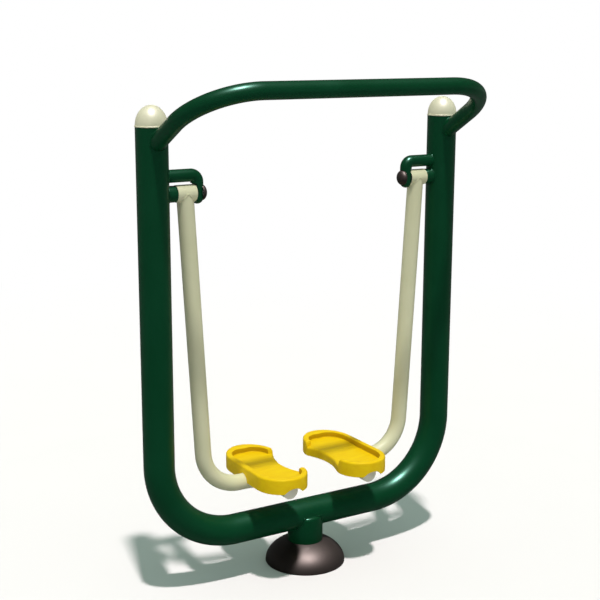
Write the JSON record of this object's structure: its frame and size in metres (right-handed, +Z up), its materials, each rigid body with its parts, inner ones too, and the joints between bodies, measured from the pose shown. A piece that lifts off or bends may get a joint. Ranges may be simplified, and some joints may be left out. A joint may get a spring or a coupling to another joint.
{
  "type": "air walker",
  "caption": "Outdoor air walker with two swinging pedals hung on tube arms inside a U-shaped tube frame, with a forward handlebar and a domed base cover.",
  "frame": {"origin": "centre of the base flange underside, on the ground under the post", "axes": "+Z up, +X along the beam to the post on the right of the picture, and the user faces -Y towards the handlebar"},
  "size_m": [1.063, 0.4856, 1.4768],
  "materials": {
    "green_paint": "gloss powder coat",
    "cream_paint": "gloss powder coat",
    "cream_plastic": "moulded, gloss",
    "yellow_plastic": "moulded, satin",
    "dark_plastic": "moulded, gloss",
    "grey_plastic": "moulded, satin",
    "zinc_steel": "bright zinc plate",
    "bearing_steel": "ground"
  },
  "bodies": {
    "frame": {"main_frame_tube": "green_paint", "base_post": "green_paint", "base_flange": "green_paint", "base_gusset_1": "green_paint", "base_gusset_2": "green_paint", "base_gusset_3": "green_paint", "base_gusset_4": "green_paint", "base_dome_cover": "dark_plastic", "handlebar": "green_paint", "right_post_cap": "cream_plastic", "right_pivot_stub": "green_paint", "right_pivot_elbow": "green_paint", "right_pivot_axle": "zinc_steel", "right_stop_pin": "zinc_steel", "right_bearing_sleeve": "zinc_steel", "right_outer_inner_race": "bearing_steel", "right_inner_inner_race": "bearing_steel", "right_axle_nut": "zinc_steel", "right_nut_cap": "dark_plastic", "left_post_cap": "cream_plastic", "left_pivot_stub": "green_paint", "left_pivot_elbow": "green_paint", "left_pivot_axle": "zinc_steel", "left_stop_pin": "zinc_steel", "left_bearing_sleeve": "zinc_steel", "left_outer_inner_race": "bearing_steel", "left_inner_inner_race": "bearing_steel", "left_axle_nut": "zinc_steel", "left_nut_cap": "dark_plastic"},
    "right_arm": {"right_hub_sleeve": "cream_paint", "right_swing_arm": "cream_paint", "right_arm_end_plug": "grey_plastic", "right_pedal": "yellow_plastic", "right_heel_bracket": "cream_paint", "right_toe_bracket": "cream_paint", "right_pedal_bolt_1": "zinc_steel", "right_pedal_bolt_2": "zinc_steel", "right_pedal_bolt_3": "zinc_steel", "right_pedal_bolt_4": "zinc_steel", "right_outer_outer_race": "bearing_steel", "right_inner_outer_race": "bearing_steel"},
    "left_arm": {"left_hub_sleeve": "cream_paint", "left_swing_arm": "cream_paint", "left_arm_end_plug": "grey_plastic", "left_pedal": "yellow_plastic", "left_heel_bracket": "cream_paint", "left_toe_bracket": "cream_paint", "left_pedal_bolt_1": "zinc_steel", "left_pedal_bolt_2": "zinc_steel", "left_pedal_bolt_3": "zinc_steel", "left_pedal_bolt_4": "zinc_steel", "left_outer_outer_race": "bearing_steel", "left_inner_outer_race": "bearing_steel"}
  },
  "joints": [
    {"name": "right_swing", "type": "hinge", "parent": "frame", "child": "right_arm", "pos_m": [0.391, 0, 1.166], "axis": [1, 0, 0], "range_deg": [-55, 55]},
    {"name": "left_swing", "type": "hinge", "parent": "frame", "child": "left_arm", "pos_m": [-0.391, 0, 1.166], "axis": [1, 0, 0], "range_deg": [-55, 55]}
  ]
}
